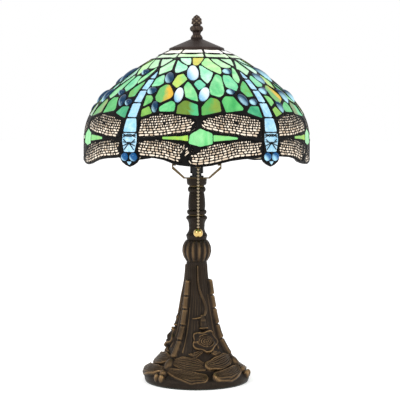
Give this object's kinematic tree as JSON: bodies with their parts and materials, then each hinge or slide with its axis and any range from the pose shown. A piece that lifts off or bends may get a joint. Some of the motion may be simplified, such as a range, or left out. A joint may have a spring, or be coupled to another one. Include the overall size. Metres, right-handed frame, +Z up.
{
  "type": "stained glass table lamp",
  "caption": "Table lamp with a domed leaded-glass dragonfly shade on a harp, cast bronze-finish base with dragonflies and roses, turned column and pull chain.",
  "frame": {"origin": "centre of the underside of the foot", "axes": "+Z up along the column, front of the lamp faces -Y, +X to the viewer's right"},
  "size_m": [0.3102, 0.314, 0.503],
  "materials": {
    "felt": "matt green-black felt",
    "steel": "zinc plated",
    "weight": "as cast",
    "bronze_casting": "dark bronze patina with rubbed highlights",
    "bronze_cap": "brown bronze patina",
    "brass": "polished, slightly aged",
    "antique_brass": "antique",
    "black_metal": "satin black",
    "phenolic": "moulded",
    "contact": "plain",
    "bulb": "frosted",
    "lead": "solder with black patina",
    "glass_cream": "opalescent",
    "glass_mint": "opalescent, streaky",
    "glass_amber": "opalescent, streaky",
    "glass_lime": "opalescent, streaky",
    "glass_green": "opalescent, streaky",
    "glass_teal": "opalescent, streaky",
    "glass_olive": "opalescent, streaky",
    "glass_blue": "opalescent",
    "jewel_white": "pressed, glossy",
    "jewel_blue": "pressed, glossy",
    "glass_wing": "opalescent"
  },
  "bodies": {
    "stand": {"felt_pad": "felt", "bottom_cover_plate": "steel", "ballast_ring": "weight", "base_casting": "bronze_casting", "cord_grommet": "phenolic", "threaded_rod": "steel", "rod_nut": "steel", "lock_washer": "steel", "ribbed_knop": "bronze_casting", "lower_baluster": "bronze_casting", "lower_check_ring": "brass", "column_ring": "bronze_casting", "upper_baluster": "bronze_casting", "collar_ring": "bronze_casting", "upper_check_ring": "brass", "socket_cup": "bronze_casting", "saddle_washer": "antique_brass", "neck_nut": "steel", "neck_tube": "black_metal", "harp_saddle": "antique_brass", "harp_bow": "antique_brass", "harp_ferrules": "antique_brass", "harp_top_stud": "antique_brass", "switch_housing": "black_metal", "housing_nut": "steel", "lampholder_shell": "black_metal", "socket_insulator": "phenolic", "screw_shell": "steel", "centre_contact": "contact", "bulb_base": "contact", "bulb_glass": "bulb", "chain_guide": "brass"},
    "switch_arm": {"pull_lever": "brass", "chain_top": "brass"},
    "chain": {"pull_chain": "brass", "pull_ball": "brass"},
    "shade": {"glass_pale_mint": "glass_mint", "glass_amber": "glass_amber", "glass_lime": "glass_lime", "glass_green": "glass_green", "glass_teal": "glass_teal", "glass_olive": "glass_olive", "body_glass": "glass_blue", "glass_crown_cream": "glass_cream", "glass_crown_mint": "glass_mint", "jewels_white": "jewel_white", "jewels_blue": "jewel_blue", "eye_jewels": "jewel_blue", "wing_glass_upper": "glass_wing", "wing_glass_lower": "glass_wing", "wing_filigree": "lead", "body_filigree": "lead", "lead_came": "lead", "crown_plate": "antique_brass", "shade_cap": "bronze_cap"},
    "finial": {"finial": "bronze_cap"}
  },
  "joints": [
    {"name": "shade_turn", "type": "hinge", "parent": "stand", "child": "shade", "pos_m": [0, 0, 0.452], "axis": [0, 0, 1], "continuous": true},
    {"name": "finial_turn", "type": "hinge", "parent": "stand", "child": "finial", "pos_m": [0, 0, 0.475], "axis": [0, 0, 1], "continuous": true},
    {"name": "pull_switch", "type": "slide", "parent": "stand", "child": "switch_arm", "axis": [0, 0, -1], "range_m": [0, 0.008], "stiffness_N_per_m": 400, "springref_m": -0.01},
    {"name": "chain_swing", "type": "hinge", "parent": "switch_arm", "child": "chain", "pos_m": [0.002, -0.023, 0.2956], "axis": [0, 1, 0], "range_deg": [-20, 20]}
  ]
}
